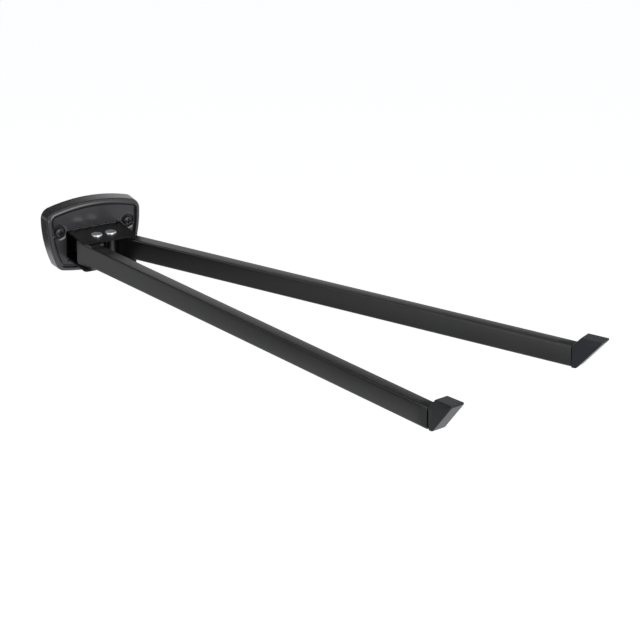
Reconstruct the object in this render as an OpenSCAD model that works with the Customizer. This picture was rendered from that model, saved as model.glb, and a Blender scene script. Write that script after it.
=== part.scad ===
// Wall-mounted towel holder with two arms that swing on vertical rivets.
// The wall is the plane y = 0, and the arms reach towards -y.
// The origin lies midway between the two wall screws, on the wall.

/* [Arm tube] */
// Height of the rectangular tube
tube_h = 15; // [12:0.5:20]
// Width of the tube
tube_w = 10; // [8:0.5:16]
// Wall of the tube
tube_wall = 1; // [0.6:0.1:1.2]
// Outer corner radius of the tube
tube_corner = 1.5; // [1.3:0.1:2.5]
// Reach from the pivot to the tube's front end
tube_reach = 372; // [200:1:600]

/* [Pivots] */
// Swing of the left arm from straight out, positive to the right
left_swing_angle = 10.6; // [-80:0.1:18]
// Swing of the right arm from straight out, positive to the right
right_swing_angle = 27.7; // [20:0.1:80]
// Distance of the pivots from the wall
pivot_depth = 27.5; // [24:0.5:40]
// Diameter of the rivet's shank
rivet_d = 5; // [4:0.1:6]
// Diameter of the rivet's upper head
rivet_head_d = 8.2; // [7:0.1:10]
// Height of the rivet's upper head
rivet_head_h = 1; // [0.8:0.1:1.5]
// Radial clearance of the pivot on the rivet
pivot_fit = 0.05; // [0.02:0.01:0.1]
// Wall of the spacer tube round the rivet
spacer_wall = 1.15; // [0.8:0.05:1.5]
// Gap between the spacer tube and the arm's tube
spacer_gap = 0.1; // [0.05:0.05:0.5]
// Gap between the ears of the two arms
ear_gap = 1.6; // [1:0.1:4]
// Thickness of the washers between ears and bracket
washer_t = 0.3; // [0.3:0.05:1]
// Width of the washers' ring
washer_ring = 1.6; // [1:0.1:1.9]

/* [Hinge fitting] */
// Sheet of the arm's hinge fitting
fitting_sheet = 1.5; // [1:0.1:2]
// Width of the fitting's jaws
fitting_w = 10.6; // [8:0.1:11]
// Reach of the fitting's jaws ahead of the pivot
fitting_reach = 13.2; // [10:0.1:25]
// Gap from the middle plane to a fitting's back when its arm is folded aside
tail_gap = 0.2; // [0.15:0.05:0.6]
// Inner radius of the fitting's bends
fitting_bend = 0.5; // [0.3:0.1:1.2]
// Metal of an ear round its spacer tube
ear_margin = 0.9; // [0.6:0.1:2]

/* [Wall bracket] */
// Sheet of the wall bracket
bracket_sheet = 1.5; // [1:0.1:2]
// Reach of the bracket's plates ahead of the pivots
bracket_nose = 12; // [9:0.5:16]
// Width of a plate beyond the arm fittings
bracket_margin = 1; // [0.6:0.1:3]
// Radius of the plates' front corners
bracket_corner = 2.5; // [1:0.1:5]
// Inner radius of the bends between plates and back
bracket_bend = 1; // [0.5:0.1:2]
// Radius of the wings round the wall screws
wing_r = 5; // [4.2:0.1:6]

/* [Cover] */
// Width of the cover
cover_w = 73.2; // [68:0.2:90]
// Height of the cover's crest above the arms' middle
cover_rise = 31.4; // [28:0.2:40]
// Depth of the cover's foot below the arms' middle
cover_drop = 21.3; // [18:0.1:30]
// Depth of the cover from the wall to its rim
cover_depth = 12.3; // [10.5:0.1:12.8]
// Height above the arms' middle where the cover is widest
cover_waist = 19; // [14:0.5:22]
// Radius of the arched top edge
crest_bow_r = 117; // [90:1:200]
// Radius of the bowed side edges
side_bow_r = 90; // [80:1:200]
// Radius of the bowed bottom edge
foot_bow_r = 131; // [90:1:250]
// Radius of the upper corners
crest_corner_r = 8; // [6:0.5:10]
// Radius of the lower corners
foot_corner_r = 7; // [6:0.5:10]
// Wall of the cover
cover_wall = 2; // [1.5:0.1:2.5]
// Inward lean of the cover's sides from the wall to the rim's rounding
cover_draft = 0.4; // [0.1:0.1:0.4]
// Width of the raised rim
rim_w = 3.5; // [3.5:0.1:5]
// Depth of the field behind the rim
field_step = 1.8; // [1:0.1:3]
// Outer rounding of the rim
rim_round = 2.6; // [1.5:0.1:2.6]
// Inner rounding of the rim
rim_lip = 0.5; // [0.3:0.1:0.5]
// Gap above and below the bracket in the cover's window
window_gap = 0.2; // [0.2:0.1:1]
// Gap beside the bracket in the cover's window
window_side_gap = 0.7; // [0.3:0.1:0.8]

/* [Wall screws] */
// Distance between the wall screws
screw_pitch = 53.6; // [52:0.2:58]
// Height of the wall screws above the arms' middle
screw_rise = 10.9; // [9:0.1:14]
// Diameter of the screws' thread
screw_d = 4; // [3.6:0.1:4.4]
// Diameter of the plain neck between head and thread
screw_neck_d = 3; // [2.4:0.1:3.4]
// Diameter of the screws' head
screw_head_d = 6.9; // [6.5:0.1:7.2]
// Height of the screws' head
screw_head_h = 2.4; // [1.8:0.1:3]
// Length of a screw's thread behind the wall's face
screw_grip = 10.6; // [8:0.2:40]
// Outer radius of the dish round a screw
dish_r = 5.2; // [4.8:0.1:5.6]
// Radius of the dish's floor
dish_floor_r = 4.1; // [3.9:0.1:4.5]
// Depth of the dish
dish_depth = 1.1; // [0.8:0.1:2]
// Width of the flare round the dish
dish_flare = 1; // [0.5:0.1:1.2]
// Depth of the flare at the dish's edge
dish_flare_h = 0.4; // [0.2:0.1:0.6]

/* [End caps] */
// How far a cap stands out beyond the tube's sides
cap_lip = 0.2; // [0.1:0.1:1]
// Height of the hook above the tube
cap_hook = 6.9; // [3:0.1:12]
// Length of the cap's foot
cap_foot = 3.2; // [2.6:0.1:8]
// Rounding between the cap's foot and its underside
cap_heel = 3; // [1:0.1:4]
// Length of the hook's flat top
cap_top = 15; // [10:0.1:20]
// Forward lean of the cap's back face over the hook's height
cap_lean = 6.6; // [3:0.1:9]
// Height of the cap's blunt nose
cap_nose = 1.6; // [1.3:0.1:3]
// Rounding of the cap's edges
cap_round = 0.5; // [0.3:0.1:0.6]
// Gap between the left tube's end and its cap, which isn't pushed home
left_cap_gap = 1.8; // [0.2:0.1:4]
// Gap between the right tube's end and its cap
right_cap_gap = 0.5; // [0.2:0.1:4]
// Length of the plug behind the cap
plug_len = 18; // [10:1:30]
// Gap between the plug and the tube's wall
plug_gap = 0.1; // [0.05:0.05:0.3]
// Wall of the hollow plug
plug_wall = 1.2; // [0.8:0.1:2]

/* [Hidden] */
$fn = 64;

// Cuts run this far past the faces that they open
overrun = 1;
// Running gap between an ear and its washer
axial_gap = 0.05;
// Clearance of the bracket's holes on screws and cover bosses
screw_gap = 0.2;

// Pivot sizes
rivet_r = rivet_d / 2;
bore_r = rivet_r + pivot_fit;
spacer_r = bore_r + spacer_wall;
ear_r = spacer_r + ear_margin;
washer_r = bore_r + washer_ring;
pivot_offset = tube_w / 2 + spacer_gap + spacer_r;
pivot_x = ear_r + ear_gap / 2;
fitting_tail = pivot_x - tail_gap;

// Heights above and below the arms' middle
fitting_half_h = tube_h / 2 + fitting_sheet;
bay_half_h = fitting_half_h + axial_gap + washer_t;
bracket_half_h = bay_half_h + bracket_sheet;

// Bracket sizes
bracket_half_w = pivot_x + pivot_offset + fitting_w / 2 + bracket_margin;
bracket_length = pivot_depth + bracket_nose;
screw_hole_r = screw_d / 2 + screw_gap;

// Bevel of a rivet's heads
rivet_bevel = rivet_head_h / 2;

// Sizes of a wall screw's tip, head edge and cross recess
screw_tip_h = screw_d;
screw_head_edge = screw_head_h / 3;
recess_shares = [0.58, 0.17, 0.6];
recess_l = screw_head_d * recess_shares[0];
recess_w = screw_head_d * recess_shares[1];
recess_depth = screw_head_h * recess_shares[2];

// Cover sizes
field_y = cover_depth - field_step;
boss_r = dish_r + cover_wall / 2;
seat_y = field_y - dish_depth;
window_half_w = bracket_half_w + window_side_gap;
window_half_h = bracket_half_h + window_gap;

// Centres of the cover's edge arcs and of its corners
crest_c = [0, cover_rise - crest_bow_r];
side_c = [cover_w / 2 - side_bow_r, cover_waist];
foot_c = [0, foot_bow_r - cover_drop];
upper_c = meet(crest_c, crest_bow_r - crest_corner_r, side_c, side_bow_r - crest_corner_r, 1);
lower_c = meet(foot_c, foot_bow_r - foot_corner_r, side_c, side_bow_r - foot_corner_r, -1);

// Steps along the outline's arcs and round the rim's section
arc_steps = 9;
corner_steps = 7;
round_steps = 6;
heel_steps = 4;
ball_steps = 4;

// Where two circles meet: the crossing on the side that turn names
function meet(c1, r1, c2, r2, turn) =
    let (d = c2 - c1)
    let (l = norm(d))
    let (a = (l * l + r1 * r1 - r2 * r2) / (2 * l))
    let (h = sqrt(r1 * r1 - a * a))
    let (u = d / l)
    c1 + a * u + turn * h * [u[1], -u[0]];

// Direction in degrees from one point to another
function heading(from, to) = atan2(to[1] - from[1], to[0] - from[0]);

// Points of an arc from angle a to angle b, without its last point
function arc(c, r, a, b, steps) =
    [for (i = [0 : steps - 1]) c + r * [cos(a + (b - a) * i / steps), sin(a + (b - a) * i / steps)]];

// Right half of the cover's outline, from the crest's middle to the foot's, moved inwards by inset
function half_outline(inset) =
    let (a1 = heading(crest_c, upper_c))
    let (a2 = heading(side_c, upper_c))
    let (a3 = heading(side_c, lower_c))
    let (a4 = heading(foot_c, lower_c))
    concat(
        arc(crest_c, crest_bow_r - inset, 90, a1, arc_steps),
        arc(upper_c, crest_corner_r - inset, a1, a2, corner_steps),
        arc(side_c, side_bow_r - inset, a2, a3, arc_steps),
        arc(lower_c, foot_corner_r - inset, a3, a4, corner_steps),
        arc(foot_c, foot_bow_r - inset, a4, -90, arc_steps),
        [[0, foot_c[1] - foot_bow_r + inset]]);

// Whole outline, clockwise from the crest
function outline(inset) =
    let (right = half_outline(inset))
    concat(right, [for (i = [len(right) - 2 : -1 : 1]) [-right[i][0], right[i][1]]]);

// Section of the cover's edge as [inset, height above the wall], from the outer foot round to the inner foot
rim_section = concat(
    [[0, 0]],
    [for (i = [0 : round_steps])
        [cover_draft + rim_round * (1 - cos(90 * i / round_steps)),
         cover_depth - rim_round * (1 - sin(90 * i / round_steps))]],
    [for (i = [0 : round_steps / 2])
        [rim_w - rim_lip * (1 - sin(90 * i * 2 / round_steps)),
         cover_depth - rim_lip * (1 - cos(90 * i * 2 / round_steps))]],
    [[rim_w, field_y - cover_wall / 2],
     [cover_wall + cover_draft, field_y - cover_wall],
     [cover_wall, 0]]);

// Moves children from the arms' middle height to the frame's origin
module at_arm_level() {
    translate([0, 0, -screw_rise])
        children();
}

// Lays a drawing in x and height against the wall and raises it by depth
module from_wall(depth) {
    rotate([90, 0, 0])
        linear_extrude(depth)
            children();
}

// Rectangle with round corners, centred
module rounded_rect(w, h, r) {
    square([w - 2 * r, h], center = true);
    square([w, h - 2 * r], center = true);
    for (x = [-1, 1], y = [-1, 1])
        translate([x * (w / 2 - r), y * (h / 2 - r)])
            circle(r);
}

// Rectangular tube's section
module tube_section() {
    difference() {
        rounded_rect(tube_w, tube_h, tube_corner);
        rounded_rect(tube_w - 2 * tube_wall, tube_h - 2 * tube_wall, tube_corner - tube_wall);
    }
}

// Outline of the bracket's two plates, seen from above
module bracket_plate() {
    difference() {
        union() {
            translate([-bracket_half_w, -bracket_length + bracket_corner])
                square([2 * bracket_half_w, bracket_length - bracket_corner]);
            translate([-bracket_half_w + bracket_corner, -bracket_length])
                square([2 * (bracket_half_w - bracket_corner), bracket_length]);
            for (side = [-1, 1])
                translate([side * (bracket_half_w - bracket_corner), -bracket_length + bracket_corner])
                    circle(bracket_corner);
        }
        for (side = [-1, 1])
            translate([side * pivot_x, -pivot_depth])
                circle(bore_r);
    }
}

// Strip across the bracket's back with a round wing at each end, drawn in x and height
module bracket_back() {
    difference() {
        union() {
            translate([0, screw_rise - wing_r])
                square([screw_pitch + 2 * wing_r, 2 * wing_r], center = true);
            for (side = [-1, 1])
                translate([side * screw_pitch / 2, screw_rise])
                    circle(wing_r);
        }
        for (side = [-1, 1])
            translate([side * screw_pitch / 2, screw_rise])
                circle(screw_hole_r);
    }
}

// Side view of the bent sheet: the back with its two plates, drawn in y and height
module bracket_profile() {
    difference() {
        translate([-bracket_length, 0])
            rounded_rect(2 * bracket_length, 2 * bracket_half_h, bracket_bend + bracket_sheet);
        translate([-bracket_length - bracket_sheet, 0])
            rounded_rect(2 * bracket_length, 2 * bay_half_h, bracket_bend);
    }
}

module wall_bracket() {
    color("#1d1e20")
        at_arm_level() {
            from_wall(bracket_sheet)
                bracket_back();
            intersection() {
                translate([-bracket_half_w, 0, 0])
                    rotate([90, 0, 90])
                        linear_extrude(2 * bracket_half_w)
                            bracket_profile();
                translate([0, 0, -bracket_half_h])
                    linear_extrude(2 * bracket_half_h)
                        bracket_plate();
            }
        }
}

// Edge of the cover: the rim's section led round the outline
module cover_edge() {
    rows = len(rim_section);
    cols = len(outline(0));
    polyhedron(
        points = [for (s = rim_section, p = outline(s[0])) [p[0], -s[1], p[1]]],
        faces = [for (i = [0 : rows - 1], j = [0 : cols - 1])
            let (k = (i + 1) % rows)
            let (m = (j + 1) % cols)
            [i * cols + j, i * cols + m, k * cols + m, k * cols + j]]);
}

module cover() {
    color("#26282c")
        at_arm_level()
            difference() {
                union() {
                    cover_edge();
                    translate([0, cover_wall - field_y, 0])
                        from_wall(cover_wall)
                            polygon(outline((cover_wall + cover_draft + rim_w) / 2));
                    for (side = [-1, 1])
                        translate([side * screw_pitch / 2, -bracket_sheet, screw_rise])
                            rotate([90, 0, 0])
                                cylinder(r = boss_r, h = field_y - bracket_sheet - cover_wall / 2);
                }
                translate([0, -cover_depth / 2, 0])
                    cube([2 * window_half_w, cover_depth + overrun, 2 * window_half_h], center = true);
                for (side = [-1, 1])
                    translate([side * screw_pitch / 2, 0, screw_rise])
                        rotate([90, 0, 0]) {
                            cylinder(r = screw_hole_r, h = cover_depth);
                            translate([0, 0, seat_y])
                                cylinder(r1 = dish_floor_r, r2 = dish_r, h = dish_depth);
                            translate([0, 0, field_y - dish_flare_h])
                                cylinder(r1 = dish_r, r2 = dish_r + dish_flare, h = dish_flare_h);
                            translate([0, 0, field_y])
                                cylinder(r = dish_r + dish_flare, h = field_step + overrun);
                        }
            }
}

// Pan-head screw with a cross recess, its head on the dish's floor and its tip behind the wall
module wall_screw(side) {
    head_r = screw_head_d / 2;
    reach = seat_y + screw_grip;
    color("#17181a")
        translate([side * screw_pitch / 2, -seat_y, 0])
            rotate([90, 0, 0])
                difference() {
                    union() {
                        cylinder(r = head_r, h = screw_head_h - screw_head_edge);
                        translate([0, 0, screw_head_h - screw_head_edge])
                            cylinder(r1 = head_r, r2 = head_r - screw_head_edge, h = screw_head_edge);
                        translate([0, 0, -seat_y])
                            cylinder(r = screw_neck_d / 2, h = seat_y);
                        translate([0, 0, screw_tip_h - reach])
                            cylinder(r = screw_d / 2, h = screw_grip - screw_tip_h);
                        translate([0, 0, -reach])
                            cylinder(r1 = 0, r2 = screw_d / 2, h = screw_tip_h);
                    }
                    for (turn = [0, 90])
                        rotate([0, 0, turn])
                            translate([0, 0, screw_head_h])
                                cube([recess_l, recess_w, 2 * recess_depth], center = true);
                }
}

module screw_left() {
    wall_screw(-1);
}

module screw_right() {
    wall_screw(1);
}

// Rivet through both plates, with a low bevelled head above and another below
module pivot_rivet(side) {
    head_r = rivet_head_d / 2;
    color("#d9dbe0")
        at_arm_level()
            translate([side * pivot_x, -pivot_depth, 0]) {
                translate([0, 0, -bracket_half_h])
                    cylinder(r = rivet_r, h = 2 * bracket_half_h);
                for (level = [0, 1])
                    mirror([0, 0, level])
                        translate([0, 0, bracket_half_h]) {
                            cylinder(r = head_r, h = rivet_head_h - rivet_bevel);
                            translate([0, 0, rivet_head_h - rivet_bevel])
                                cylinder(r1 = head_r, r2 = head_r - rivet_bevel, h = rivet_bevel);
                        }
            }
}

module rivet_left() {
    pivot_rivet(-1);
}

module rivet_right() {
    pivot_rivet(1);
}

// Thin washer between an ear and the bracket
module pivot_washer(side, level) {
    color("#8d8f93")
        at_arm_level()
            translate([side * pivot_x, -pivot_depth, level * (bay_half_h - washer_t / 2)])
                difference() {
                    cylinder(r = washer_r, h = washer_t, center = true);
                    cylinder(r = bore_r, h = washer_t + overrun, center = true);
                }
}

module washer_top_left() {
    pivot_washer(-1, 1);
}

module washer_top_right() {
    pivot_washer(1, 1);
}

module washer_bottom_left() {
    pivot_washer(-1, -1);
}

module washer_bottom_right() {
    pivot_washer(1, -1);
}

// Places an arm's part: x runs forward from the pivot, y outwards, z up
module on_arm(side, swing) {
    at_arm_level()
        translate([side * pivot_x, -pivot_depth, 0])
            rotate([0, 0, swing - 90])
                mirror([0, side < 0 ? 1 : 0, 0])
                    children();
}

// Fitting bent from sheet: a jaw that grips the tube from above and below, with an ear on each side
module hinge_fitting() {
    outer = fitting_bend + fitting_sheet;
    jaw_l = fitting_reach + fitting_tail;
    color("#202124") {
        translate([0, pivot_offset + fitting_w / 2, 0])
            rotate([90, 0, 0])
                linear_extrude(fitting_w)
                    intersection() {
                        difference() {
                            translate([jaw_l - fitting_tail, 0])
                                rounded_rect(2 * jaw_l, 2 * fitting_half_h, outer);
                            translate([jaw_l - fitting_tail, 0])
                                rounded_rect(2 * (jaw_l - fitting_sheet), tube_h, fitting_bend);
                        }
                        translate([-fitting_tail, -fitting_half_h])
                            square([jaw_l, 2 * fitting_half_h]);
                    }
        for (side = [0, 1])
            mirror([0, 0, side])
                translate([0, 0, tube_h / 2])
                    linear_extrude(fitting_sheet)
                        difference() {
                            union() {
                                circle(ear_r);
                                translate([-ear_r, 0])
                                    square([2 * ear_r, pivot_offset]);
                            }
                            circle(bore_r);
                        }
    }
}

module pivot_spacer() {
    color("#202124")
        difference() {
            cylinder(r = spacer_r, h = tube_h, center = true);
            cylinder(r = bore_r, h = tube_h + overrun, center = true);
        }
}

module arm_tube() {
    start = fitting_tail - fitting_sheet - fitting_bend;
    color("#26282b")
        translate([-start, pivot_offset, 0])
            rotate([90, 0, 90])
                linear_extrude(tube_reach + start)
                    tube_section();
}

// Ball that rounds a corner, with a point at each of its six ends
module corner_ball(r) {
    rotate_extrude($fn = 4 * ball_steps)
        polygon([for (i = [-ball_steps : ball_steps]) r * [cos(90 * i / ball_steps), sin(90 * i / ball_steps)]]);
}

// Hook-shaped cap with a hollow plug that fills the tube's end
module end_cap(gap) {
    half_w = tube_w / 2 + cap_lip - cap_round;
    low = -tube_h / 2 - cap_lip + cap_round;
    top = tube_h / 2 + cap_hook - cap_round;
    back = tube_reach + cap_round;
    tip = tube_reach + cap_lean + cap_top - cap_round;
    plug_w = tube_w - 2 * (tube_wall + plug_gap);
    plug_h = tube_h - 2 * (tube_wall + plug_gap);
    nose = [tip, top - cap_nose + 2 * cap_round];
    foot = [back + cap_foot - cap_round, low];
    rise = heading(foot, nose);
    heel_r = cap_heel - cap_round;
    heel = [foot[0] - heel_r * tan(rise / 2), low + heel_r];
    corners = concat(
        [[back, low]],
        [for (i = [0 : heel_steps]) heel + heel_r * [sin(rise * i / heel_steps), -cos(rise * i / heel_steps)]],
        [nose, [tip, top], [back + cap_lean - cap_round, top], [back, tube_h / 2 + cap_lip - cap_round]]);
    color("#2b2d33")
        translate([gap, pivot_offset, 0]) {
            hull()
                for (c = corners, y = [-1, 1])
                    translate([c[0], y * half_w, c[1]])
                        corner_ball(cap_round);
            translate([tube_reach - plug_len, 0, 0])
                difference() {
                    rotate([90, 0, 90])
                        linear_extrude(plug_len + cap_round)
                            rounded_rect(plug_w, plug_h, tube_corner - tube_wall);
                    translate([-overrun, -plug_w / 2 + plug_wall, -plug_h / 2 + plug_wall])
                        cube([plug_len - plug_wall + overrun, plug_w - 2 * plug_wall, plug_h - 2 * plug_wall]);
                }
        }
}

module left_fitting() {
    on_arm(-1, left_swing_angle)
        hinge_fitting();
}

module left_spacer() {
    on_arm(-1, left_swing_angle)
        pivot_spacer();
}

module left_tube() {
    on_arm(-1, left_swing_angle)
        arm_tube();
}

module left_end_cap() {
    on_arm(-1, left_swing_angle)
        end_cap(left_cap_gap);
}

module right_fitting() {
    on_arm(1, right_swing_angle)
        hinge_fitting();
}

module right_spacer() {
    on_arm(1, right_swing_angle)
        pivot_spacer();
}

module right_tube() {
    on_arm(1, right_swing_angle)
        arm_tube();
}

module right_end_cap() {
    on_arm(1, right_swing_angle)
        end_cap(right_cap_gap);
}

wall_bracket();
cover();
screw_left();
screw_right();
rivet_left();
rivet_right();
washer_top_left();
washer_top_right();
washer_bottom_left();
washer_bottom_right();
left_fitting();
left_spacer();
left_tube();
left_end_cap();
right_fitting();
right_spacer();
right_tube();
right_end_cap();
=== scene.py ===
import math
import bmesh
import bpy
import numpy as np
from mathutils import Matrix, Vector


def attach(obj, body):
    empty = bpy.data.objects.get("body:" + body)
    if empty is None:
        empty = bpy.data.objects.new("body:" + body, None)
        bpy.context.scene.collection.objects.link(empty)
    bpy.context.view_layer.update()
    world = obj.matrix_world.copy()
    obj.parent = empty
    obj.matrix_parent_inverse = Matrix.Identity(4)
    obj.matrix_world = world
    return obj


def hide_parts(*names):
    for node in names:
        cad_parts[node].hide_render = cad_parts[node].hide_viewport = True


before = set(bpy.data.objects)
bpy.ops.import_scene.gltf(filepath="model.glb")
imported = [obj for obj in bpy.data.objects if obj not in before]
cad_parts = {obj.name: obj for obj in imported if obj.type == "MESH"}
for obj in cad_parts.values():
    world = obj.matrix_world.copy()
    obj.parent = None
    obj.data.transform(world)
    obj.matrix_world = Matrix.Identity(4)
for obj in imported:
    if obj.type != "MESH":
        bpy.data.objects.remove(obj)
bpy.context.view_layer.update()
MM = 0.001

# Sizes shared with the solids, in millimetres and degrees
ARM_LEVEL = -10.9
PIVOT_X, PIVOT_DEPTH, PIVOT_TO_TUBE = 5.4, 27.5, 8.8
PLATE_TOP = 10.85
RIVET_R, RIVET_HEAD_H = 2.5, 1.0
TUBE_H, TUBE_W, TUBE_WALL, TUBE_REACH = 15.0, 10.0, 1.0, 372.0
SWING = {"left": 10.6, "right": 27.7}
CAP_GAP = {"left": 1.8, "right": 0.5}
SCREW_X, SCREW_HEAD_R, SEAT_DEPTH, SCREW_REACH = 26.8, 3.45, 9.4, 10.6
WINDOW_HALF = (21.2, 11.05)
COVER_W, COVER_RISE, COVER_DROP, COVER_WAIST = 73.2, 31.4, 21.3, 19.0
COVER_DEPTH, FIELD_DEPTH, COVER_WALL = 12.3, 10.5, 2.0
RIM_WIDTH, DRAFT, CREST_R = 3.5, 0.4, 2.6

# Fine forms that are worked in here only
TUBE_CORNER, TUBE_EDGE, TUBE_BOW, TUBE_START = 1.1, 0.3, 0.2, -3.65
CAP_TILT = {"left": 2.4, "right": 0.0}
CAP_LIFT = {"left": 0.55, "right": 0.0}
RIVET_HEAD_R = 4.08
LIP_R = 0.4
GROOVE_DEPTH, GROOVE_NEAR, GROOVE_FAR, GROOVE_END = 1.1, 0.05, 1.2, 1.75
SHEET_EDGE, JAW_EDGE = 0.45, 0.18

# The sign of x on each side
SIGN = {"left": -1, "right": 1}


# Node trees and shader maths

class Value:
    """A node's output socket that takes part in plain Python sums."""

    def __init__(self, nodes, socket):
        self.nodes = nodes
        self.socket = socket

    def _sum(self, operation, first, second):
        return self.nodes.node("ShaderNodeMath", {"operation": operation}, {0: first, 1: second})

    def __add__(self, other):
        return self._sum("ADD", self, other)

    def __radd__(self, other):
        return self._sum("ADD", other, self)

    def __mul__(self, other):
        return self._sum("MULTIPLY", self, other)

    def __rmul__(self, other):
        return self._sum("MULTIPLY", other, self)


class Nodes:
    """A node tree that plain calls and sums build up."""

    def __init__(self, owner):
        owner.use_nodes = True
        self.tree = owner.node_tree

    def node(self, kind, settings=None, inputs=None, out=0):
        """Adds a node of a kind, with its settings first and then the values or links of its sockets."""
        made = self.tree.nodes.new(kind)
        for name, setting in (settings or {}).items():
            setattr(made, name, setting)
        for name, given in (inputs or {}).items():
            if isinstance(given, Value):
                self.tree.links.new(given.socket, made.inputs[name])
            else:
                made.inputs[name].default_value = given
        return Value(self, made.outputs[out]) if made.outputs else None


class Finish(Nodes):
    """A procedural material on Object coordinates."""

    def __init__(self, name, metallic=0.0, specular=0.5):
        self.material = bpy.data.materials.new(name)
        super().__init__(self.material)
        self.shader = self.tree.nodes["Principled BSDF"]
        self.shader.inputs["Metallic"].default_value = metallic
        self.shader.inputs["Specular IOR Level"].default_value = specular
        self.place = self.node("ShaderNodeTexCoord", out="Object")

    def noise(self, size_mm, detail=2.0):
        """Noise from 0 to 1 whose grain is about size_mm wide."""
        return self.node("ShaderNodeTexNoise", {}, {
            "Vector": self.place, "Scale": 1 / (size_mm * MM), "Detail": detail, "Roughness": 0.5})

    def shades(self, amount, dark, light):
        """Colour between two shades, by a value from 0 to 1."""
        return self.node("ShaderNodeMix", {"data_type": "RGBA"}, {
            "Factor": amount, 6: (*dark, 1.0), 7: (*light, 1.0)}, out=2)

    def bump(self, height, depth_mm, strength):
        """Normals tilted by a height from 0 to 1 that stands for so many millimetres."""
        return self.node("ShaderNodeBump", {}, {
            "Height": height, "Distance": depth_mm * MM, "Strength": strength})

    def feed(self, **sockets):
        """Links values to the shader's sockets, whose names take a space for each underscore."""
        for name, value in sockets.items():
            self.tree.links.new(value.socket, self.shader.inputs[name.replace("_", " ")])
        return self.material


def powder_coat(name, dark, light, roughness, specular=0.5):
    """Baked powder paint: fine orange peel over a slow change of gloss."""
    paint = Finish(name, specular=specular)
    slow = paint.noise(size_mm=38.0, detail=3.0)
    peel = paint.noise(size_mm=0.9, detail=1.0) + 0.5 * paint.noise(size_mm=2.6, detail=1.0)
    speck = paint.noise(size_mm=0.35)
    return paint.feed(Base_Color=paint.shades(slow, dark, light),
                      Roughness=roughness + 0.06 * slow + 0.04 * speck,
                      Normal=paint.bump(peel, depth_mm=0.008, strength=0.5))


def moulded_plastic(name, dark, light, roughness, grain_mm, specular=0.5):
    """Moulded plastic with a fine spark-eroded grain."""
    plastic = Finish(name, specular=specular)
    slow = plastic.noise(size_mm=24.0, detail=3.0)
    grain = plastic.noise(size_mm=grain_mm)
    return plastic.feed(Base_Color=plastic.shades(0.6 * slow + 0.4 * grain, dark, light),
                        Roughness=roughness + 0.08 * slow + 0.05 * grain,
                        Normal=plastic.bump(grain, depth_mm=0.010, strength=0.4))


def bare_steel(name, dark, light, roughness, metallic=1.0):
    """Plated, blackened or plain steel, with small crystals in its colour and surface."""
    steel = Finish(name, metallic=metallic)
    slow = steel.noise(size_mm=3.5, detail=3.0)
    crystal = steel.noise(size_mm=0.4)
    return steel.feed(Base_Color=steel.shades(0.5 * slow + 0.5 * crystal, dark, light),
                      Roughness=roughness + 0.12 * slow,
                      Normal=steel.bump(crystal, depth_mm=0.003, strength=0.4))


FINISHES = {
    "arm_paint": powder_coat(
        "arm_coat", (0.0045, 0.0045, 0.005), (0.0065, 0.0065, 0.007), roughness=0.24),
    "bracket_paint": powder_coat(
        "bracket_coat", (0.0025, 0.0025, 0.003), (0.004, 0.004, 0.0045), roughness=0.26, specular=0.16),
    "cover_plastic": moulded_plastic(
        "cover_moulding", (0.018, 0.018, 0.020), (0.027, 0.027, 0.030), roughness=0.17, grain_mm=0.5),
    "cap_plastic": moulded_plastic(
        "cap_moulding", (0.009, 0.010, 0.013), (0.014, 0.015, 0.019), roughness=0.26, grain_mm=0.4,
        specular=0.22),
    "screw_black": bare_steel(
        "black_oxide", (0.010, 0.010, 0.011), (0.025, 0.025, 0.028), roughness=0.30, metallic=0.3),
    "rivet_zinc": bare_steel(
        "zinc_plate", (0.62, 0.63, 0.65), (0.78, 0.79, 0.81), roughness=0.24),
    "washer_steel": bare_steel(
        "plain_steel", (0.35, 0.35, 0.36), (0.55, 0.55, 0.57), roughness=0.3),
}
SLOTS = {"bracket": "bracket_paint", "cover": "cover_plastic", "end_cap": "cap_plastic",
         "screw": "screw_black", "rivet": "rivet_zinc", "washer": "washer_steel"}


def slot_of(node):
    """The record's material slot of a CAD node, by the word in its name."""
    return next((slot for word, slot in SLOTS.items() if word in node), "arm_paint")


for name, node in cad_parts.items():
    node.data.materials.clear()
    node.data.materials.append(FINISHES[slot_of(name)])


# Meshes and pieces

def added(name, data):
    """A new object in the scene, with its mesh, light or camera."""
    made = bpy.data.objects.new(name, data)
    bpy.context.scene.collection.objects.link(made)
    return made


def stand_in(made, node, body):
    """Hides the CAD node that a new piece stands for, and attaches the piece to the body that it rides on."""
    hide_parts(node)
    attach(made, body)


def smoothed(mesh, angle):
    """Shades a mesh smooth, apart from edges sharper than an angle in degrees."""
    mesh.shade_smooth()
    mesh.set_sharp_from_angle(angle=math.radians(angle))


def closed_grid(points, wrap_rows):
    """Points and faces of a grid whose columns close on themselves.

    Each row is joined to the next one, column by column. The rows wrap too when wrap_rows is set; otherwise
    the first and last rows are closed by a fan to their mean point. The whole surface is turned so that its
    volume, the sum of each face's corner triple products, is positive.
    """
    rows, columns = points.shape[:2]
    flat = points.reshape(-1, 3)
    row = np.arange(rows if wrap_rows else rows - 1)[:, None]
    column = np.arange(columns)
    above, beside = (row + 1) % rows, (column + 1) % columns
    quads = np.stack([row * columns + column, row * columns + beside,
                      above * columns + beside, above * columns + column], -1).reshape(-1, 4)
    tris = np.zeros((0, 3), int)
    if not wrap_rows:
        flat = np.vstack([flat, points[0].mean(0), points[-1].mean(0)])
        last_row = (rows - 1) * columns
        first = np.stack([np.full(columns, rows * columns), beside, column], -1)
        last = np.stack([np.full(columns, rows * columns + 1), last_row + column, last_row + beside], -1)
        tris = np.vstack([first, last])
    halves = np.vstack([quads[:, [0, 1, 2]], quads[:, [0, 2, 3]], tris])
    a, b, c = (flat[halves[:, corner]] for corner in range(3))
    if np.einsum("ij,ij->i", a, np.cross(b, c)).sum() < 0:
        quads, tris = quads[:, ::-1], tris[:, ::-1]
    return flat, quads, tris


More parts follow.
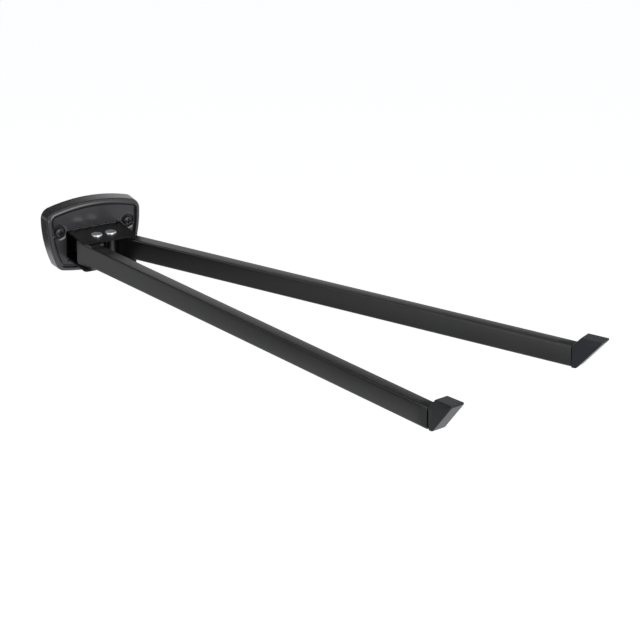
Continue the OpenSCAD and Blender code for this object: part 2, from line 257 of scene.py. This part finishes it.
def piece(name, grids, node, body, angle=40.0, flat_faces=False):
    """One object from closed grids in millimetres, in place of a CAD node.

    Edges sharper than the angle stay sharp. With flat_faces, the shading of large flat faces stays flat up to
    their roundings.
    """
    verts, faces, start = [], [], 0
    for points, wrap_rows in grids:
        corners, quads, tris = closed_grid(points, wrap_rows)
        verts.append(corners * MM)
        faces += (quads + start).tolist() + (tris + start).tolist()
        start += len(corners)
    mesh = bpy.data.meshes.new(name)
    mesh.from_pydata(np.vstack(verts).tolist(), [], faces)
    mesh.validate()
    smoothed(mesh, angle)
    mesh.materials.append(FINISHES[slot_of(node)])
    made = added(name, mesh)
    if flat_faces:
        normals = made.modifiers.new("flat_faces", "WEIGHTED_NORMAL")
        normals.weight = 100
        normals.keep_sharp = True
    stand_in(made, node, body)


def softened(node, body, edge_mm, side=None):
    """A copy of a CAD node with its doubles merged, its flat faces joined and its sharp edges broken.

    With a side, the copy is that arm's fitting, and it is drawn in to the tube's outer face.
    """
    doubles_mm, flat_angle, smooth_angle, bevel_angle = 0.002, 0.5, 32.0, 40.0
    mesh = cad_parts[node].data.copy()
    if side:
        draw_in_to_tube(mesh, side)
    work = bmesh.new()
    work.from_mesh(mesh)
    bmesh.ops.remove_doubles(work, verts=work.verts, dist=doubles_mm * MM)
    bmesh.ops.dissolve_limit(work, angle_limit=math.radians(flat_angle), verts=work.verts, edges=work.edges)
    bmesh.ops.recalc_face_normals(work, faces=work.faces)
    work.to_mesh(mesh)
    work.free()
    smoothed(mesh, smooth_angle)
    made = added(node + "_softened", mesh)
    bevel = made.modifiers.new("broken_edges", "BEVEL")
    bevel.width = edge_mm * MM
    bevel.segments = 2
    bevel.limit_method = "ANGLE"
    bevel.angle_limit = math.radians(bevel_angle)
    bevel.harden_normals = True
    stand_in(made, node, body)


def draw_in_to_tube(mesh, side):
    """Moves a fitting's points that lie past the tube's outer face in, until they stand just proud of it."""
    proud = 0.04
    flat = np.empty(3 * len(mesh.vertices))
    mesh.vertices.foreach_get("co", flat)
    points = flat.reshape(-1, 3)
    pivot, _, outward = arm_axes(side)
    past = (points - pivot * MM) @ outward - (PIVOT_TO_TUBE + TUBE_W / 2 + proud) * MM
    points -= np.clip(past, 0, None)[:, None] * outward
    mesh.vertices.foreach_set("co", points.ravel())


def arm_axes(side):
    """An arm's pivot, and its unit vectors forward and outward."""
    turn = math.radians(SWING[side])
    ahead = np.array([math.sin(turn), -math.cos(turn), 0.0])
    outward = SIGN[side] * np.array([math.cos(turn), math.sin(turn), 0.0])
    return np.array([SIGN[side] * PIVOT_X, -PIVOT_DEPTH, ARM_LEVEL]), ahead, outward


def on_arm(points, side):
    """Carries points from an arm's own axes, forward, outward and up, to the frame's."""
    pivot, ahead, outward = arm_axes(side)
    forward, out, up = points[..., 0:1], points[..., 1:2], points[..., 2:3]
    return pivot + forward * ahead + (out + PIVOT_TO_TUBE) * outward + up * (0, 0, 1)


def turned(profile, centre, columns, upright=False):
    """Points of a turned piece: each radius and height of the profile, carried round the axis.

    A point is centre + radius * (cos angle, sin angle) across the axis + height along it. The axis is z for
    an upright piece, and otherwise -y, out of the wall.
    """
    radius, height = np.array(profile, float).T[..., None]
    angle = np.linspace(0, 2 * np.pi, columns, endpoint=False)
    across, other = radius * np.cos(angle), radius * np.sin(angle)
    height = np.broadcast_to(height, across.shape)
    return np.stack([across, other, height] if upright else [across, -height, other], -1) + centre


def quarter(centre_r, centre_h, radius, start, end, steps):
    """Points of a rounding in a profile, from one angle in degrees to another."""
    angles = np.radians(np.linspace(start, end, steps))
    return list(zip(centre_r + radius * np.cos(angles), centre_h + radius * np.sin(angles)))


def arc_rows(centre, radius, angles):
    """An arc as rows of its centre, its radius and one angle each."""
    return np.column_stack([np.tile((*centre, radius), (len(angles), 1)), angles])


def drawn_in(arcs, inset):
    """The points of rows of arcs: centre + (radius - inset) * (cos angle, sin angle)."""
    toward = np.stack([np.cos(arcs[:, 3]), np.sin(arcs[:, 3])], -1)
    return arcs[:, :2] + (arcs[:, 2:3] - inset) * toward


# The cover

def crossing(centre_1, radius_1, centre_2, radius_2, turn):
    """Where two circles cross, on the side that turn names: 1 for the right hand, -1 for the left."""
    centre_1, centre_2 = np.array(centre_1, float), np.array(centre_2, float)
    apart = math.hypot(*(centre_2 - centre_1))
    along = (apart * apart + radius_1 * radius_1 - radius_2 * radius_2) / (2 * apart)
    beside = math.sqrt(radius_1 * radius_1 - along * along)
    ahead = (centre_2 - centre_1) / apart
    return centre_1 + along * ahead + turn * beside * np.array([ahead[1], -ahead[0]])


def heading(start, end):
    """The angle of the line from one point to another."""
    return math.atan2(end[1] - start[1], end[0] - start[0])


def edge_arcs():
    """The cover's outline as rows of arcs in x and z, clockwise from the crest.

    The right half is five arcs: the crest, the upper corner, the side, the lower corner and the foot. Each
    corner's centre lies where the two neighbours' circles, drawn in by the corner's radius, cross. The left
    half is the right one mirrored.
    """
    crest_r, side_r, foot_r, upper_r, lower_r = 117.0, 90.0, 131.0, 8.0, 7.0
    crest = (0, COVER_RISE - crest_r)
    side = (COVER_W / 2 - side_r, COVER_WAIST)
    foot = (0, foot_r - COVER_DROP)
    upper = crossing(crest, crest_r - upper_r, side, side_r - upper_r, 1)
    lower = crossing(foot, foot_r - lower_r, side, side_r - lower_r, -1)
    turns = [math.pi / 2, heading(crest, upper), heading(side, upper), heading(side, lower),
             heading(foot, lower), -math.pi / 2]
    circles = [(crest, crest_r, 80), (upper, upper_r, 40), (side, side_r, 110), (lower, lower_r, 36),
               (foot, foot_r, 64)]
    right = np.vstack([arc_rows(centre, radius, np.linspace(start, end, steps, endpoint=False))
                       for (centre, radius, steps), start, end in zip(circles, turns, turns[1:])])
    left = right[:0:-1] * (-1, 1, 1, -1) + (0, 0, 0, math.pi)
    return np.vstack([right, (*foot, foot_r, turns[-1]), left])


def cover_grid():
    """The cover as one closed sheet: a section led round the outline.

    The section runs from the foot on the wall up the outer side, round the rim's crest and down its lip,
    through the groove, across the field to the window, back through the window, behind the field and down
    the inner side. Rim points are outline points drawn in by the section's inset. Field points lie on the
    straight line between the groove's inner edge and the window's edge, and their rows crowd towards the
    window. The groove is at its full depth along the top and shallower along the bottom, by the sine of the
    outline's direction.
    """
    crest_steps, lip_steps, field_rows, crowding, back_rows = 13, 7, 104, 1.6, 8
    groove_mean, groove_swing = 0.8, 0.5
    arcs = edge_arcs()

    def layer(flat, depth):
        """One row of the sheet, from its points in x and z and its depth out of the wall."""
        return np.stack([flat[:, 0], -np.broadcast_to(depth, len(flat)), flat[:, 1] + ARM_LEVEL], -1)

    outer_side = [(0.0, 0.0), (0.13, 3.0), (0.27, 6.0)]
    crest = quarter(0.0, COVER_DEPTH - CREST_R, CREST_R, 0, 90, crest_steps)
    crest = [(DRAFT + CREST_R - r, h) for r, h in crest]
    lip = quarter(0.0, COVER_DEPTH - LIP_R, LIP_R, 90, 0, lip_steps)
    lip = [(RIM_WIDTH - LIP_R + r, h) for r, h in lip]
    rows = [layer(drawn_in(arcs, inset), depth) for inset, depth in outer_side + crest + lip[1:]]
    groove = FIELD_DEPTH - GROOVE_DEPTH * np.clip(groove_mean + groove_swing * np.sin(arcs[:, 3]), 0, 1)
    rows += [layer(drawn_in(arcs, RIM_WIDTH + inset), groove) for inset in (GROOVE_NEAR, GROOVE_FAR)]
    field = drawn_in(arcs, RIM_WIDTH + GROOVE_END)
    window = field * np.min(np.array(WINDOW_HALF) / np.maximum(np.abs(field), 1e-6), axis=1)[:, None]
    for share in 1 - np.linspace(1, 0, field_rows) ** crowding:
        flat = field + (window - field) * share
        rows.append(layer(flat, FIELD_DEPTH - dish(flat) - window_edge(flat) - ragged_notch(flat)))
    behind = drawn_in(arcs, COVER_WALL + DRAFT)
    for share in np.linspace(0, 1, back_rows):
        rows.append(layer(window + (behind - window) * share, FIELD_DEPTH - COVER_WALL))
    rows.append(layer(drawn_in(arcs, COVER_WALL), 0.0))
    return np.array(rows)


def ragged_notch(flat):
    """Depth of the ragged notch along the window's top edge.

    Its height above the edge is a sum of three waves along x, each of a size, a rate and a start, cut off at
    the top and the bottom. Its upper side and its two ends slope.
    """
    depth, slope, half_length, end_slope = 1.7, 0.15, 20.8, 0.3
    mean_height, wave_height, lowest, highest = 0.75, 0.45, -1.0, 1.4
    waves = ((1.0, 0.83, 0.4), (0.8, 2.1, 1.9), (0.7, 4.7, 0.0))
    x = flat[:, 0]
    wave = sum(height * np.sin(rate * x + start) for height, rate, start in waves)
    top = WINDOW_HALF[1] + mean_height + wave_height * np.clip(wave, lowest, highest)
    inside = np.clip((half_length - np.abs(x)) / end_slope, 0, 1) * (flat[:, 1] > 0)
    return depth * inside * np.clip((top - flat[:, 1]) / slope, 0, 1)


def window_edge(flat):
    """Rounding of the window's edge: the field drops by the square of how far a point is inside a margin.

    The drop fades out over the window's top 2 mm, where the notch runs.
    """
    drop, margin, fade = 0.7, 1.4, 2.0
    away = np.maximum(np.abs(flat[:, 0]) - WINDOW_HALF[0], -flat[:, 1] - WINDOW_HALF[1])
    below = np.clip((WINDOW_HALF[1] - flat[:, 1]) / fade, 0, 1)
    return drop * below * np.clip((margin - away) / margin, 0, 1) ** 2


def dish(flat):
    """Depth of the screw dishes, by the distance from the screw.

    A soft flare leads to a wall that goes down to the seat, and a ring is sunk round the screw's head.
    """
    flare_r, flare_w, flare_depth, flare_power = 6.3, 1.1, 0.4, 1.5
    wall_r, wall_w, wall_depth = 5.2, 0.9, 0.7
    ring_r, ring_w, ring_depth = 4.6, 0.3, 0.8
    hole_r, hole_w = 3.1, 0.2
    away = np.hypot(np.abs(flat[:, 0]) - SCREW_X, flat[:, 1] + ARM_LEVEL)
    flare = np.clip((flare_r - away) / flare_w, 0, 1)
    wall = np.clip((wall_r - away) / wall_w, 0, 1)
    ring = np.clip((ring_r - away) / ring_w, 0, 1) * np.clip((away - hole_r) / hole_w, 0, 1)
    return flare_depth * flare ** flare_power + wall_depth * wall * wall * (3 - 2 * wall) + ring_depth * ring


def boss(sign):
    """Hollow boss behind the field, on the bracket's wing: a ring's section turned about the screw."""
    outer, inner, foot, top = 5.8, 2.2, 1.5, 8.55
    return turned([(outer, foot), (outer, top), (inner, top), (inner, foot)], (sign * SCREW_X, 0, 0), 48)


# Rivets and screws

def rivet(sign):
    """Rivet turned about the pivot: a head with a rounded edge above, the shank, and the same head below."""
    flat_r, edge_centre, edge_r = 3.35, (3.5, 0.45), 0.55
    head = [(flat_r, RIVET_HEAD_H)] + quarter(*edge_centre, edge_r, 90, 8, 6) + [(RIVET_HEAD_R, 0.0)]
    top = [(r, PLATE_TOP + h) for r, h in head] + [(RIVET_R, PLATE_TOP)]
    profile = top + [(r, -h) for r, h in top[::-1]]
    return turned(profile, (sign * PIVOT_X, -PIVOT_DEPTH, ARM_LEVEL), 96, upright=True)


def wall_screw(sign):
    """Pan-head wall screw in one grid, from the middle of its head to its tip.

    The head's height falls from the middle as a superellipse, less a cross-shaped pit. The plain neck runs to
    the wall. Behind it, the radius swells from the core to the crest once a turn, along a helix, and fades
    into the point.
    """
    columns, thread_rows = 96, 230
    middle_r, shoulder_r, edge_start_r = 0.04, 3.1, 3.15
    head_rise, pit_depth, dome_r, dome_power, shoulder_power = 2.4, 1.5, 3.452, 3.2, 2.4
    neck_r, neck_end, core_r, tip_r, tip_gap = 1.5, 0.2, 1.35, 0.02, 0.05
    pitch, thread_h, flank = 1.55, 0.62, 3.2
    point, run_in, run_out = 3.4, 0.8, 4.0
    angle = np.linspace(0, 2 * np.pi, columns, endpoint=False)
    dome_radii = np.linspace(middle_r, shoulder_r, 46)
    edge_radii = np.linspace(edge_start_r, SCREW_HEAD_R, 7)
    radii = np.concatenate([dome_radii, edge_radii])[:, None]
    x, z = radii * np.cos(angle), radii * np.sin(angle)
    dome = head_rise * np.clip(1 - (radii / dome_r) ** dome_power, 0, 1) ** (1 / shoulder_power)
    pit = pit_depth * np.maximum(recess_arm(x, z), recess_arm(z, x))
    head = np.stack([x, pit - dome - SEAT_DEPTH, z], -1)
    neck = turned([(SCREW_HEAD_R, SEAT_DEPTH), (neck_r, SEAT_DEPTH), (neck_r, neck_end)], (0, 0, 0), columns)
    deep = np.linspace(0, SCREW_REACH - tip_gap, thread_rows)[:, None]
    turns = (deep / pitch - angle / (2 * np.pi)) % 1.0
    fade = np.clip((SCREW_REACH - deep) / run_out, 0, 1) * np.clip(deep / run_in, 0, 1)
    core = core_r * np.clip((SCREW_REACH - deep) / point, 0, 1) + tip_r
    radius = core + thread_h * np.clip(1 - flank * np.abs(turns - 0.5), 0, 1) * fade
    thread = np.stack([radius * np.cos(angle), deep + 0 * radius, radius * np.sin(angle)], -1)
    return np.vstack([head, neck, thread]) + (sign * SCREW_X, 0, 0)


def recess_arm(across, along):
    """One arm of a screw's cross recess: 1 inside a rectangle, falling to 0 at its sides and its ends."""
    half_w, half_l, side_slope, end_slope = 0.62, 2.0, 0.16, 0.3
    sides = np.clip((half_w - np.abs(across)) / side_slope, 0, 1)
    return sides * np.clip((half_l - np.abs(along)) / end_slope, 0, 1)


# End caps and tubes, in the arm's own axes

def end_cap(gap):
    """The hooked cap: its rounded side view carried across the tube, drawn in at both cheeks.

    The side view is six corners with their own radii, each an arc between the normals of its two edges. A
    row is that outline drawn in by an inset that falls to nothing round the cheek's edge, and on the cheeks
    it shrinks to the middle.
    """
    edge_r, heel_r, lip = 0.5, 3.0, 0.2
    start = TUBE_REACH + gap
    low, neck, nose, top = -7.2, 7.2, 13.3, 13.9
    back, foot, crown, tip = start + edge_r, start + 3.2, start + 6.6, start + 21.1
    ramp = math.atan2(nose - low, tip - foot)
    heel_in = heel_r - edge_r
    heel = (foot - heel_in * math.tan(ramp / 2), low + heel_in)
    lean = math.degrees(math.atan2(crown - back, top - neck))
    ramp = math.degrees(ramp)
    corners = [((back, low), edge_r, 180, 270, 7), (heel, heel_r, 270, 270 + ramp, 15),
               ((tip, nose), edge_r, 270 + ramp, 360, 8), ((tip, top), edge_r, 0, 90, 9),
               ((crown, top), edge_r, 90, 180 - lean, 7), ((back, neck), edge_r, 180 - lean, 180, 7)]
    arcs = np.vstack([arc_rows(centre, radius, np.radians(np.linspace(first, last, steps)))
                      for centre, radius, first, last, steps in corners])
    cheek = drawn_in(arcs, edge_r)
    middle = cheek.mean(0)
    half = TUBE_W / 2 + lip - edge_r
    near = [(middle + (cheek - middle) * share, half + edge_r) for share in (0.04, 0.5)]
    for angle in np.linspace(0, math.pi / 2, 7):
        near.append((drawn_in(arcs, edge_r - edge_r * math.sin(angle)), half + edge_r * math.cos(angle)))
    layers = [(flat, -y) for flat, y in near] + near[::-1]
    return np.array([np.insert(flat, 1, y, axis=1) for flat, y in layers])


def seated(points, side):
    """Turns a cap's points nose-up about the tube's end, and lifts them."""
    turn = math.radians(CAP_TILT[side])
    ahead, up = points[..., 0] - TUBE_REACH, points[..., 2]
    return np.stack([TUBE_REACH + ahead * math.cos(turn) - up * math.sin(turn), points[..., 1],
                     ahead * math.sin(turn) + up * math.cos(turn) + CAP_LIFT[side]], -1)


def cap_plug(gap):
    """The plug behind the cap: a rounded rectangle carried along the arm, from inside the tube to the cap."""
    half_w, half_h, corner_r, length, overlap = 3.9, 6.4, 0.5, 18.0, 0.5
    angles = np.radians(np.arange(0, 360, 15) + 7.5)
    y = np.sign(np.cos(angles)) * (half_w - corner_r) + corner_r * np.cos(angles)
    z = np.sign(np.sin(angles)) * (half_h - corner_r) + corner_r * np.sin(angles)
    section = np.stack([y, z], -1)
    return np.array([np.insert(section, 0, TUBE_REACH + x, axis=1) for x in (gap - length, gap + overlap)])


def tube_section(inset, lower_corner, bow):
    """The tube's section: four corner arcs joined by straight faces, then bowed.

    The bow moves a point of a face inwards by the bow times the square of its share of the way to the corner.
    """
    least_r, corner_steps, face_steps = 0.2, 9, 14
    half_w, half_h = TUBE_W / 2 - inset, TUBE_H / 2 - inset
    quarter_turn = np.radians(np.linspace(0, 90, corner_steps))
    arcs = []
    for side_y, side_z, turn, corner in ((1, 1, 0, TUBE_CORNER), (-1, 1, 90, TUBE_CORNER),
                                         (-1, -1, 180, lower_corner), (1, -1, 270, lower_corner)):
        radius = max(corner - inset, least_r)
        centre = (side_y * (half_w - radius), side_z * (half_h - radius))
        arcs.append(drawn_in(arc_rows(centre, radius, quarter_turn + math.radians(turn)), 0.0))
    share = np.linspace(0, 1, face_steps)[1:-1, None]
    faces = [arc[-1] + (following[0] - arc[-1]) * share for arc, following in zip(arcs, arcs[1:] + arcs[:1])]
    y, z = np.vstack([part for pair in zip(arcs, faces) for part in pair]).T
    bowed_y = y - np.sign(y) * bow * (z / half_h) ** 2 * (np.abs(y) / half_w) ** 4
    bowed_z = z - np.sign(z) * bow * (y / half_w) ** 2 * (np.abs(z) / half_h) ** 4
    return np.stack([bowed_y, bowed_z], -1)


def arm_tube():
    """The tube as one closed sheet: outside, rounded front edge, inside and back edge.

    The path's rows are the place along the arm, the section's inset, its lower corners' radius and its bow.
    Between the jaws, paint fills the groove along the lower corners, and the faces are flat. In front of
    them the bow grows to its full size at 150 mm.
    """
    paint_end, clear, bow_start, bow_full, first_bow = 12.8, 14.2, 30.0, 150.0, 0.03
    path = [(TUBE_START, 0.0, TUBE_EDGE, 0.0), (paint_end, 0.0, TUBE_EDGE, 0.0),
            (clear, 0.0, TUBE_CORNER, 0.0), (bow_start, 0.0, TUBE_CORNER, first_bow)]
    for x in (60.0, 100.0, bow_full, 250.0, TUBE_REACH - 12.0):
        path.append((x, 0.0, TUBE_CORNER, TUBE_BOW * min(x / bow_full, 1.0)))
    for r, x in quarter(TUBE_WALL / 2 - TUBE_EDGE, TUBE_REACH - TUBE_EDGE, TUBE_EDGE, 0, 90, 4):
        path.append((x, TUBE_WALL / 2 - r, TUBE_CORNER, TUBE_BOW))
    path += [(TUBE_REACH, TUBE_WALL, TUBE_CORNER, 0.0), (TUBE_START, TUBE_WALL, TUBE_EDGE, 0.0)]
    return np.array([np.insert(tube_section(*section), 0, x, axis=1) for x, *section in path])


# The pieces

piece("cover_shell", [(cover_grid(), True), (boss(-1), True), (boss(1), True)], "cover", "bracket", 28.0)
for side, sign in SIGN.items():
    piece("rivet_" + side + "_turned", [(rivet(sign), False)], "rivet_" + side, "bracket")
    piece("screw_" + side + "_threaded", [(wall_screw(sign), False)], "screw_" + side, "bracket")
for side, gap in CAP_GAP.items():
    body = side + "_arm"
    cap = [(on_arm(seated(end_cap(gap), side), side), False), (on_arm(cap_plug(gap), side), False)]
    piece(side + "_cap_moulded", cap, side + "_end_cap", body, flat_faces=True)
    piece(side + "_tube_rolled", [(on_arm(arm_tube(), side), True)], side + "_tube", body)
    softened(side + "_fitting", body, JAW_EDGE, side)
softened("wall_bracket", "bracket", SHEET_EDGE)


# Stage, light and camera, in metres

FLOOR_LEVEL, FLOOR_HALF, FLOOR_COLOUR = -0.6, 6.0, (0.85, 0.85, 0.85, 1.0)
FLOOR_SEEN, FLOOR_REFLECTED = 0.6, 0.5
SKY_COLOUR, SKY_LEVEL = (0.96, 0.97, 1.0, 1.0), 0.45
WHITE = (1.0, 1.0, 1.0, 1.0)
CARD_DARK = Finish("card_dark")
CARD_DARK.shader.inputs["Base Color"].default_value = (0.03, 0.03, 0.03, 1.0)


def aimed(made, at, toward, axis):
    """Puts an object at a place, with one of its axes along a direction."""
    made.location = at
    made.rotation_mode = "QUATERNION"
    made.rotation_quaternion = toward.to_track_quat(axis, "Y")


def rectangle(name, half_w, half_h, material):
    """A flat level rectangle that belongs to the stage."""
    mesh = bpy.data.meshes.new(name)
    corners = [(-half_w, -half_h, 0), (half_w, -half_h, 0), (half_w, half_h, 0), (-half_w, half_h, 0)]
    mesh.from_pydata(corners, [], [(0, 1, 2, 3)])
    mesh.materials.append(material)
    made = added(name, mesh)
    return made


def emptied(owner):
    """An owner's emptied node tree, a value that is 1 for camera rays and one that is 1 for glossy rays."""
    nodes = Nodes(owner)
    nodes.tree.nodes.clear()
    rays = [nodes.node("ShaderNodeLightPath", out=kind) for kind in ("Is Camera Ray", "Is Glossy Ray")]
    return nodes, *rays


def floor():
    """Matt pale floor, with a glow that only camera and glossy rays see over its light and shadow."""
    material = bpy.data.materials.new("floor_pale")
    nodes, camera_ray, glossy_ray = emptied(material)
    matt = nodes.node("ShaderNodeBsdfDiffuse", {}, {"Color": FLOOR_COLOUR})
    glow = nodes.node("ShaderNodeEmission", {}, {
        "Strength": FLOOR_SEEN * camera_ray + FLOOR_REFLECTED * glossy_ray})
    both = nodes.node("ShaderNodeAddShader", {}, {0: matt, 1: glow})
    nodes.node("ShaderNodeOutputMaterial", {}, {"Surface": both})
    rectangle("floor", FLOOR_HALF, FLOOR_HALF, material).location.z = FLOOR_LEVEL


def sky():
    """World light at a plain level, and white for camera and glossy rays."""
    world = bpy.data.worlds.new("studio")
    bpy.context.scene.world = world
    nodes, camera_ray, glossy_ray = emptied(world)
    soft = nodes.node("ShaderNodeBackground", {}, {"Color": SKY_COLOUR, "Strength": SKY_LEVEL})
    white = nodes.node("ShaderNodeBackground", {}, {"Color": WHITE, "Strength": 1.0})
    either = nodes.node("ShaderNodeMixShader", {}, {0: camera_ray + glossy_ray, 1: soft, 2: white})
    nodes.node("ShaderNodeOutputWorld", {}, {"Surface": either})


def softbox(name, at, to, size, power):
    """A rectangular lamp that faces a point."""
    light = bpy.data.lights.new(name, "AREA")
    light.shape = "RECTANGLE"
    light.size, light.size_y = size
    light.energy = power
    aimed(added(name, light), at, Vector(to) - Vector(at), "-Z")


def card(name, at, to, size):
    """A dark card that faces a point and that only reflections see, as a studio's black flag."""
    made = rectangle(name, size[0] / 2, size[1] / 2, CARD_DARK.material)
    aimed(made, at, Vector(to) - Vector(at), "Z")
    made.visible_camera = False
    made.visible_diffuse = False
    made.visible_shadow = False


def camera():
    """The photograph's camera: place, turn, tilt and focal length fitted to the arms' edges."""
    turn, tilt = math.radians(28.529), math.radians(21.892)
    focal_px, side_px = 2682.64, 640.0
    data = bpy.data.cameras.new("camera")
    data.sensor_width = 36.0
    data.lens = focal_px / side_px * data.sensor_width
    data.clip_start, data.clip_end = 0.05, 50.0
    ahead = Vector((math.sin(turn) * math.cos(tilt), math.cos(turn) * math.cos(tilt), -math.sin(tilt)))
    made = added("camera", data)
    aimed(made, (-0.72335, -1.68116, 0.65629), ahead, "-Z")
    bpy.context.scene.camera = made


sky()
floor()
softbox("key", (0.1, -1.15, 0.42), (0.0, -0.02, 0.0), (0.8, 0.8), 10.0)
softbox("front_right", (0.93, -0.96, -0.48), (0.0, -0.03, 0.0), (0.36, 0.36), 0.45)
softbox("front_low", (0.04, -1.2, -0.08), (0.0, -0.03, 0.0), (0.25, 0.25), 1.8)
softbox("left", (-0.8, -0.42, -0.06), (0.1, -0.2, 0.0), (0.4, 0.26), 1.2)
card("back_card", (0.3, 1.05, 1.06), (0.1, -0.3, 0.0), (2.6, 1.0))
card("left_card", (-0.8, 0.2, -0.09), (0.05, -0.3, 0.0), (0.5, 0.63))
card("rim_card", (-0.48, 1.0, -0.38), (-0.03, -0.01, 0.0), (0.5, 0.45))
card("low_card", (-0.8, -0.25, -0.56), (0.1, -0.2, 0.0), (0.8, 0.25))
card("corner_card", (-0.62, 1.0, 0.3), (-0.03, -0.01, 0.0), (0.5, 0.6))
camera()
bpy.context.scene.view_settings.view_transform = "Standard"
